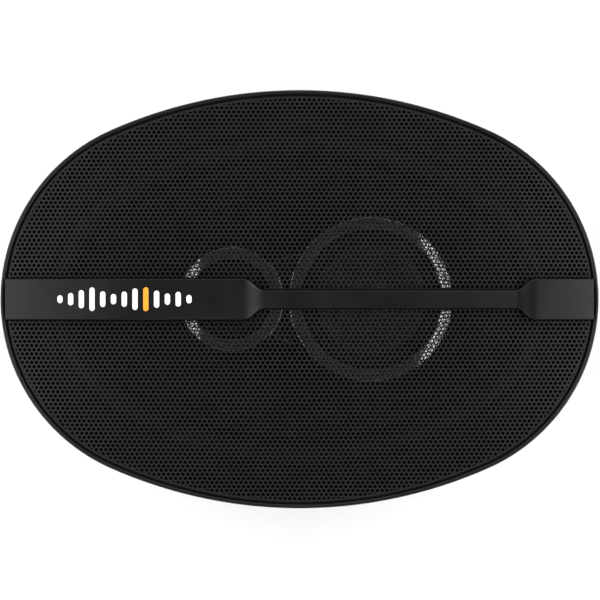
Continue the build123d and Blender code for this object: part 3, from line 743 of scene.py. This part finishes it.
def pad_stations(end_x, shoulder_x, nose_x, wider, low, top, neck_top):
    """Stations of a pad from the rim to its nose: full width, then a rounded taper that rolls down."""
    straight = 26
    stations = [(end_x + (shoulder_x - end_x) * i / straight, PAD_HALF + wider, low, top)
                for i in range(straight)]
    steps = 28
    length = nose_x - shoulder_x
    roll_from = shoulder_x - 0.1 * length  # the top starts down a little before the sides
    end_half = NECK_HALF - 0.02 * MM + wider
    for i in range(steps + 1):
        x = shoulder_x + length * i / steps
        half = PAD_HALF + wider + (end_half - PAD_HALF - wider) * taper(i / steps)
        down = smooth_step((x - roll_from) / (shoulder_x + length - roll_from))
        stations.append((x, half, low, top + (neck_top - 0.04 * MM - top) * down))
    return stations


def bar_layer(prefix, wider, low, top, neck_top, material):
    """Spine between two pads, each a lofted piece."""
    count = 70
    start, end = LEFT_PAD_X - 2 * MM, RIGHT_PAD_X + 2 * MM
    places = [start + (end - start) * i / count for i in range(count + 1)]
    spine = lofted_bar(f"{prefix}_spine", [(x, NECK_HALF + wider, low, neck_top) for x in places], material)
    left = pad_stations(BAR_LOW.x, LEFT_PAD_X, LEFT_NECK_X, wider, low, top, neck_top)
    right = pad_stations(BAR_HIGH.x, RIGHT_PAD_X, RIGHT_NECK_X, wider, low, top, neck_top)
    pad_left = lofted_bar(f"{prefix}_pad_left", left, material)
    pad_right = lofted_bar(f"{prefix}_pad_right", right, material)
    for piece in (spine, pad_left, pad_right):
        add(piece, "grille", "bar_plastic", "grille_bar")


def grille_bar(material, shadow):
    """Bar across the mesh, and a near-black strip under its edges that paints the bar's shade on the mesh.
    """
    bar_layer("bar", 0.0, BAR_LIFT, PAD_TOP, NECK_TOP, material)
    bar_layer("bar_painted_shade", PAINTED_SHADE_WIDTH, 0.05 * MM, 0.45 * MM, 0.45 * MM, shadow)


def grip_tab(name, x, y, nx, ny, half, material):
    """Springy tab inside the skirt that clips behind the base ring's wall."""
    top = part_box("grille_mesh")[0].z - 1.25 * MM
    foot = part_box("grille_base_ring")[0].z + 3.2 * MM
    thick = 1.4 * MM
    barb = 0.3 * MM
    profile = [(0, top), (0, foot + thick), (-thick / 2, foot), (-thick, foot + thick / 2),
               (-thick - barb, foot + thick), (-thick, foot + 1.8 * thick), (-thick, top)]
    profile = rounded(profile, 0.25 * MM)
    middle = -thick / 2
    rows = []
    for along in (-half, -half + 0.3 * MM, half - 0.3 * MM, half):
        shrink = 0.88 if abs(along) == half else 1.0
        rows.append([(x + nx * (middle + (d - middle) * shrink) - ny * along,
                      y + ny * (middle + (d - middle) * shrink) + nx * along, z) for d, z in profile])
    width = len(profile)
    verts = [point for row in rows for point in row]
    faces = ring_faces(len(rows), width, False)
    faces += [tuple(range(width)), tuple(range(len(verts) - width, len(verts)))]
    obj = new_object(name, verts, faces, material)
    face_outwards(obj)
    add(obj, "grille", "rim_plastic", "grille_ring")


def grip_tabs(material):
    """Six tabs: one at each end and two along each side."""
    inside = OUTLINE.offset(-4.6 * MM)
    end_half, side_half, side_x = 7 * MM, 5 * MM, 20 * MM
    end_x = inside.end_x + math.sqrt(inside.r**2 - end_half**2)
    side_y = math.sqrt(inside.side_r**2 - (side_x + side_half) ** 2) - inside.side_y
    for side, word in ((1, "right"), (-1, "left")):
        grip_tab(f"grip_tab_{word}", side * end_x, 0, side, 0, end_half, material)
        for up, level in ((1, "upper"), (-1, "lower")):
            grip_tab(f"grip_tab_{level}_{word}", side * side_x, up * side_y, 0, up, side_half, material)


# ---------------------------------------------------------------- the woofer


CONE_END_RADIUS = 56 * MM
LIP_OUTER = 1.4 * MM  # offsets from the cone opening's oval
ROLL_OUTER = -2.4 * MM
ROLL_INNER = -14.4 * MM
SPIDER_START = 20.5 * MM  # radii between which the spider is corrugated
SPIDER_END = 38.8 * MM


def cone_oval():
    """The cone opening's oval, from the surround's outer lip."""
    low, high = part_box("woofer_surround")
    return Oval((high.x - low.x) / 2 - LIP_OUTER, (high.y - low.y) / 2 - LIP_OUTER, CONE_END_RADIUS)


def middle_x(node):
    """Where a node's axis stands along the speaker."""
    low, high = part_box(node)
    return (low.x + high.x) / 2


CONE = cone_oval()
MID_X = middle_x("midrange_cone")
TWEETER_X = middle_x("tweeter_dome")


def woofer_cone(material):
    """Paper cone from the round neck to the oval edge, with pressed rings near the edge."""
    low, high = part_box("woofer_cone")[0].z, 1.2 * MM
    sheet = 0.8 * MM
    neck = 19.1 * MM
    steps = 90
    rays = CONE.offset(ROLL_INNER).rays(240)

    def row(t, lift):
        ring = [(x * t + nx * neck * (1 - t), y * t + ny * neck * (1 - t)) for x, y, nx, ny in rays]
        ridge = 0.45 * MM * math.sin(14 * math.pi * (t - 0.45) / 0.5) ** 2 if 0.45 < t < 0.95 else 0.0
        z = low + (high - low) * t + lift - ridge * 0.6
        return [(x, y, z) for x, y in ring]

    up = [row(j / steps, sheet) for j in range(steps + 1)]
    down = [row(1 - j / steps, 0.0) for j in range(steps + 1)]
    add(skin("woofer_cone_paper", up + down, material), "woofer", "cone_paper", "woofer_cone")


def woofer_surround(material):
    """Half-roll rubber edge between the flange and the cone."""
    middle, radius, z = -8.4, 6.0, 1.5
    section = mm((1.4, 1.2), (1.4, 1.75), (1.1, 1.8), (-1.4, 1.8))
    section += [(a * MM, b * MM) for a, b in arc(middle, z, radius, 4, 176, 22)]
    section += mm((-15.2, 1.8), (-17.3, 1.8), (-17.4, 1.7), (-17.4, 1.25), (-17.3, 1.2), (-14.6, 1.2))
    section += [(a * MM, b * MM) for a, b in arc(middle, z, radius - 0.6, 176, 4, 22)]
    section += mm((-2.2, 1.2))
    piece = swept("surround_roll", CONE.rays(260), section, material)

    def share(places):
        depth = CONE.depth(places[:, 0], places[:, 1])
        return (ROLL_OUTER - depth) / (ROLL_OUTER - ROLL_INNER)

    flexing(piece, "woofer_surround", share)


def radial_share(x, outer, inner):
    """Weight that goes from 0 at an outer radius to 1 at an inner one."""
    return lambda places: (outer - np.hypot(places[:, 0] - x, places[:, 1])) / (outer - inner)


def spider(material):
    """Corrugated cloth that centres the coil."""
    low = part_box("coil_former")[1].z - 2.3 * MM
    inner, outer = 18.9 * MM, 45 * MM
    level = low + 0.5 * MM
    steps = 72
    over = [(inner, level), (SPIDER_START, level)]
    for i in range(1, steps):
        r = SPIDER_START + (SPIDER_END - SPIDER_START) * i / steps
        over.append((r, low + (0.5 + 1.2 * math.sin(6 * math.pi * i / steps)) * MM))
    over += [(SPIDER_END, level), (outer, level)]
    under = [(r, z - 0.45 * MM) for r, z in reversed(over)]
    piece = turned("spider_cloth", over + under, material, 0.0, 160)
    flexing(piece, "spider", radial_share(0.0, SPIDER_END, SPIDER_START))


def tinsel_leads(material):
    """Braided leads between the terminals and the cone."""
    for side in ("positive", "negative"):
        node = f"tinsel_lead_{side}"
        piece = copied(f"tinsel_{side}", node, material)
        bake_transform(piece)
        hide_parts(node)


def ring_corners(node, bore):
    """Section of a flat ring from its bore's radius to the node's outside."""
    low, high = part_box(node)
    return [(bore, low.z), (high.x, low.z), (high.x, high.z), (bore, high.z)]


def glue_bead(name, edge, z, sign, material):
    """Uneven bead squeezed out at a joint; sign is the way it swells, up or down."""
    rows = []
    for j in (0, 1, 2, 3, 4, 5, 7):  # six rows over the bead, and one that tucks in behind it
        t = math.pi / 2 * j / 5
        row = []
        for i in range(180):
            turn = 2 * math.pi * i / 180
            swell = 0.75 + 0.12 * math.sin(5 * turn + z * 900) + 0.1 * math.sin(13 * turn + 2)
            swell += 0.05 * math.sin(31 * turn)
            r = edge + (0.3 + swell * math.cos(t) if j < 6 else 0) * MM
            height = z + sign * (swell * math.sin(t) if j < 6 else -0.15) * MM
            row.append((r * math.cos(turn), r * math.sin(turn), height))
        rows.append(row)
    add(skin(name, rows, material), "root", "lead_sheath")


def motor(zinc, ferrite, glue):
    """Plates and magnet with broken edges, and the glue squeezed out between them."""
    plate = turned("top_plate_steel", rounded(ring_corners("top_plate", 20 * MM), 0.7 * MM), zinc)
    add(plate, "root", "zinc_steel", "top_plate")
    ring = turned("magnet_ring", rounded(ring_corners("ring_magnet", 24 * MM), 1.3 * MM, 2), ferrite)
    add(ring, "root", "ferrite", "ring_magnet")
    softened("back_plate_steel", "back_plate", "root", "zinc_steel", zinc, 0.5 * MM)
    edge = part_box("top_plate")[1].x - 0.3 * MM
    magnet_low, magnet_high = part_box("ring_magnet")
    glue_bead("glue_front", edge, magnet_high.z, 1, glue)
    glue_bead("glue_rear", edge, magnet_low.z, -1, glue)


def softened_parts(plastic, paint, zinc, steel, board, brass):
    """Hard parts whose own shape only needs softer edges."""
    parts = (
        ("base_ring", "grille_base_ring", "ring_plastic", plastic, 0.25),
        ("basket_pressing", "basket", "basket_paint", paint, 0.3),
        ("basket_rivets", "motor_rivets", "rivet_steel", steel, 0.5),
        ("board_rivet_pair", "board_rivets", "rivet_steel", steel, 0.35),
        ("tab_rivet_pair", "terminal_rivets", "rivet_steel", steel, 0.3),
        ("board", "terminal_board", "board_fibre", board, 0.2),
        ("tab_positive", "terminal_positive", "tab_brass", brass, 0.15),
        ("tab_negative", "terminal_negative", "tab_brass", brass, 0.15),
        ("nut", "post_nut", "zinc_steel", zinc, 0.4),
        ("post", "coax_post", "post_plastic", plastic, 0.4),
        ("pod", "pod_housing", "pod_plastic", plastic, 0.4),
    )
    for name, node, slot, material, width in parts:
        softened(name, node, "root", slot, material, width * MM)


def capacitor(name, node, degrees, material):
    """Can in a shrunk sleeve, with a crimped groove and a dished end, lying by the basket's step."""
    low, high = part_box(node)
    r = (high.z - low.z) / 2
    middle = (low + high) / 2
    turn = math.radians(degrees)
    axis = Vector((-math.sin(turn), math.cos(turn), 0))
    out = Vector((math.cos(turn), math.sin(turn), 0))
    half = ((high.x - low.x) - 2 * r * abs(out.x)) / (2 * abs(axis.x))
    lip, groove = 0.8 * MM, 0.45 * MM
    profile = [(0, -half + 0.5 * MM), (r - 1.5 * MM, -half + 0.5 * MM), (r - 1.2 * MM, -half + 0.05 * MM),
               (r - 0.5 * MM, -half), (r, -half + 0.5 * MM), (r, -half + 1.6 * MM),
               (r - groove, -half + 2.1 * MM), (r - groove, -half + 2.4 * MM), (r, -half + 2.9 * MM),
               (r, half - 0.6 * MM), (r - 0.4 * MM, half - 0.1 * MM), (r - lip, half),
               (r - lip - 0.3 * MM, half - 0.25 * MM), (0, half - 0.25 * MM)]
    up = Vector((0, 0, 1))
    turns = [2 * math.pi * i / 48 for i in range(48)]
    rows = []
    for radius, along in profile:
        centre = middle + axis * along
        rows.append([tuple(centre + (out * math.cos(t) + up * math.sin(t)) * radius) for t in turns])
    add(skin(name, rows, material, False), "root", "capacitor_sleeve", node)


# ---------------------------------------------------------------- midrange and tweeter


def trim_ring(name, node, side, material):
    """Bright ring whose broad bevel stands higher and steeper towards one side."""
    low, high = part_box(node)
    x = (low.x + high.x) / 2
    outer = (high.x - low.x) / 2
    mouth = outer - 5.1 * MM
    crest = mouth + 0.4 * MM
    pod_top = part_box("pod_housing")[1].z
    skirt = outer - 2.3 * MM
    foot_z = pod_top + 0.75 * MM
    rows = []
    rays = circle_rays(1.0, 240)

    def row(radius, height):
        rows.append([(x + radius * nx, radius * ny, height(side * nx)) for _, _, nx, ny in rays])

    def level(z):
        return lambda lean: z

    def bevel(t):
        """Height over the bevel at t from its foot to its crest, for a lean of -1 to 1."""
        bulge = 0.05 * MM * math.sin(math.pi * t)
        return lambda lean: foot_z + (high.z - foot_z) * (0.6 + 0.4 * lean) * t + bulge

    for radius, z in ((skirt, low.z), (skirt, pod_top), (outer - 0.1 * MM, pod_top),
                      (outer, pod_top + 0.08 * MM), (outer, foot_z - 0.05 * MM)):
        row(radius, level(z))
    steps = 12
    for i in range(steps + 1):
        t = i / steps
        row(outer - 0.05 * MM + (crest - outer + 0.05 * MM) * t, bevel(t))
    row(crest - 0.12 * MM, lambda lean: bevel(1)(lean) - 0.03 * MM)
    row(crest - 0.25 * MM, lambda lean: bevel(1)(lean) - 0.2 * MM)
    row(mouth, level(low.z + 1.0 * MM))
    row(mouth, level(low.z))
    add(skin(name, rows, material, True, 50), "root", "trim_chrome", node)


def domed(name, node, body, slot, material, sheet):
    """Thin spherical cap over the node's own box."""
    low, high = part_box(node)
    x = (low.x + high.x) / 2
    r = (high.x - low.x) / 2
    rise = high.z - low.z
    ball = (r * r + rise * rise) / (2 * rise)
    centre = high.z - ball
    reach = math.asin(r / ball)
    top = [(ball * math.sin(reach * i / 24), centre + ball * math.cos(reach * i / 24)) for i in range(25)]
    inner = ball - sheet
    under = [(inner * math.sin(reach * i / 24), centre + inner * math.cos(reach * i / 24))
             for i in range(24, -1, -1)]
    add(turned(name, top + under, material, x, 96, 60), body, slot, node)


def half_roll_ring(name, node, material, x, lip, outer, inner, inner_lip, z, sheet):
    """Small half-roll edge of a driver, in millimetres."""
    middle, radius = (outer + inner) / 2, (outer - inner) / 2
    section = mm((lip, z - sheet / 2), (lip, z + sheet / 2), (outer, z + sheet / 2))
    section += [(a * MM, b * MM) for a, b in arc(middle, z, radius, 8, 172, 12)]
    if inner_lip:
        section += mm((inner - 0.1, z + sheet / 2), (inner_lip, z + sheet / 2), (inner_lip, z - sheet / 2))
    section += [(a * MM, b * MM) for a, b in arc(middle, z, radius - sheet, 176, 4, 12)]
    piece = turned(name, section, material, x, 120)
    flexing(piece, node, radial_share(x, outer * MM, inner * MM))


def midrange(paper, rubber, paint, copper):
    """Cone with a rolled edge and a dust cap."""
    low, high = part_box("midrange_cone")
    edge = (high.x - low.x) / 2
    neck = 7.7 * MM
    steps = 30
    top, under = [], []
    for i in range(steps + 1):
        t = i / steps
        r = neck + (edge - neck) * t
        bow = 0.5 * MM * math.sin(math.pi * t)
        z = low.z + 0.1 * MM + (high.z - 0.5 * MM - low.z) * t - bow * 0.2
        under.append((r, z))
        top.append((r, z + 0.45 * MM))
    cone = turned("midrange_paper", top + under[::-1], paper, MID_X)
    add(cone, "midrange", "midrange_paper", "midrange_cone")
    domed("midrange_cap", "midrange_dust_cap", "midrange", "midrange_paper", paper, 0.5 * MM)
    half_roll_ring("midrange_roll", "midrange_surround", rubber, MID_X,
                   31.0, 27.7, 23.7, 22.6, 9.4, 0.4)
    coated("midrange_frame", paint)
    coated("midrange_voice_coil", copper)


def tweeter(silk, plastic, copper):
    """Silk dome in its clamp plate."""
    domed("tweeter_silk", "tweeter_dome", "tweeter", "dome_silk", silk, 0.4 * MM)
    half_roll_ring("tweeter_roll", "tweeter_surround", silk, TWEETER_X,
                   15.4, 13.4, 10.6, 0, 6.35, 0.3)
    softened("tweeter_plate", "tweeter_clamp_plate", "root", "pod_plastic", plastic, 0.2 * MM)
    coated("tweeter_voice_coil", copper)


def camera():
    """Camera straight above the grille, with a long lens."""
    data = bpy.data.cameras.new("camera")
    data.lens = 200
    data.sensor_width = 36
    data.clip_end = 20
    view_width = 2 * OUTLINE.a * 600 / 598
    distance = view_width * data.lens / data.sensor_width
    obj = bpy.data.objects.new("camera", data)
    bpy.context.scene.collection.objects.link(obj)
    obj.location = (0.2 * MM, -0.33 * MM, BEAD_TOP - 1 * MM + distance)
    bpy.context.scene.camera = obj


def softbox(name, place, aim, size, power):
    """Rectangular studio light."""
    data = bpy.data.lights.new(name, "AREA")
    data.shape = "RECTANGLE"
    data.size, data.size_y = size
    data.energy = power
    obj = bpy.data.objects.new(name, data)
    bpy.context.scene.collection.objects.link(obj)
    obj.location = place
    obj.rotation_mode = "QUATERNION"
    obj.rotation_quaternion = (Vector(aim) - Vector(place)).to_track_quat("-Z", "Y")


def lights():
    """Softboxes over the two ends, weaker ones along the sides, and a dim room."""
    world = bpy.data.worlds.new("room")
    bpy.context.scene.world = world
    world.use_nodes = True
    background = world.node_tree.nodes["Background"]
    background.inputs["Color"].default_value = (1, 1, 1, 1)
    background.inputs["Strength"].default_value = 0.11
    softbox("softbox_left", (-1.15, 0.0, 1.0), (0, 0, 0), (3.0, 0.6), 36)
    softbox("softbox_right", (1.15, 0.0, 1.0), (0, 0, 0), (3.0, 0.6), 36)
    softbox("softbox_far", (0.0, 1.5, 0.9), (0, 0, 0), (1.6, 0.6), 11)
    softbox("softbox_near", (0.0, -1.5, 0.9), (0, 0, 0), (1.6, 0.6), 5)


def build():
    """Every piece, from the grille down to the motor."""
    plastic = moulded_plastic("pod_plastic", (0.005, 0.005, 0.0053), 0.45, specular=0.25)
    rubber = soft_rubber("surround_rubber", (0.0045, 0.0045, 0.0045), 0.68)
    zinc = plated_steel("zinc_steel", (0.6, 0.61, 0.6), 0.34)
    steel = satin_metal("rivet_steel", (0.66, 0.66, 0.65), 0.3)
    ferrite = sintered_ferrite("ferrite", (0.035, 0.035, 0.037))
    copper = wound_wire("copper_wire", (0.72, 0.33, 0.16))
    mesh_paint = coated_steel("mesh_paint", (0.009, 0.009, 0.0095), 0.5, specular=0.22)
    rim = moulded_plastic("rim_plastic", (0.0045, 0.0045, 0.0048), 0.36, specular=0.28)
    paint = coated_steel("basket_paint", (0.01, 0.01, 0.0105), 0.38)
    grille_sheet(mesh_paint)
    grille_rim(rim)
    grip_tabs(rim)
    # Painted shade: a matt near-black strip, a little wider than the bar, stands in for the bar's shadow on
    # the mesh.
    painted_shade_strip = moulded_plastic("painted_shade_plastic", (0.002, 0.002, 0.002), 0.9, specular=0.05)
    grille_bar(moulded_plastic("bar_plastic", (0.004, 0.004, 0.0042), 0.4, specular=0.26), painted_shade_strip)
    silver = gloss_paint("badge_silver", (0.78, 0.79, 0.8), 0.35)
    amber = gloss_paint("badge_amber", (0.86, 0.34, 0.03))
    softened("badge_row", "badge_bars", "grille", "badge_silver", silver, 0.22 * MM)
    softened("badge_highlight", "badge_accent", "grille", "badge_amber", amber, 0.22 * MM)
    woofer_cone(pulp_paper("cone_paper", (0.011, 0.011, 0.0115), specular=0.25))
    woofer_surround(rubber)
    coated("surround_gasket", soft_rubber("gasket_foam", (0.014, 0.014, 0.014), 0.9))
    spider(woven_cloth("spider_cloth", (0.42, 0.27, 0.1), 0.75, 330, 0.08 * MM))
    tinsel_leads(braided_wire("tinsel_braid", (0.66, 0.45, 0.27)))
    coated("coil_former", satin_metal("former_foil", (0.75, 0.75, 0.76), 0.35))
    coated("coil_winding", copper)
    coated("dust_ring", matted_felt("dust_felt", (0.01, 0.01, 0.01)))
    motor(zinc, ferrite, gloss_paint("motor_glue", (0.012, 0.012, 0.012), 0.3))
    board = phenolic_board("board_fibre", (0.16, 0.075, 0.03))
    brass = satin_metal("tab_brass", (0.8, 0.6, 0.27), 0.27)
    softened_parts(plastic, paint, zinc, steel, board, brass)
    sleeve = gloss_paint("capacitor_sleeve", (0.015, 0.03, 0.11), 0.3)
    capacitor("midrange_can", "midrange_capacitor", -58, sleeve)
    capacitor("tweeter_can", "tweeter_capacitor", -122, sleeve)
    coated("pod_leads", two_sheaths("lead_sheath", (0.35, 0.012, 0.01), (0.01, 0.01, 0.01)))
    chrome = chrome_plate("trim_chrome", (0.3, 0.3, 0.31), 0.12)
    trim_ring("midrange_chrome", "midrange_trim_ring", 1, chrome)
    trim_ring("tweeter_chrome", "tweeter_trim_ring", -1, chrome)
    midrange(pulp_paper("midrange_paper", (0.02, 0.02, 0.021), 0.36, 0.5), rubber, paint, copper)
    tweeter(woven_cloth("dome_silk", (0.012, 0.012, 0.0135), 0.5, 700, 0.03 * MM, 0.2), plastic, copper)
    for driver in ("midrange", "tweeter"):
        coated(f"{driver}_top_plate", zinc)
        coated(f"{driver}_magnet", ferrite)
        coated(f"{driver}_yoke", zinc)


scene = bpy.context.scene
scene.view_settings.view_transform = "Standard"

camera()
lights()
floor_plane()
build()
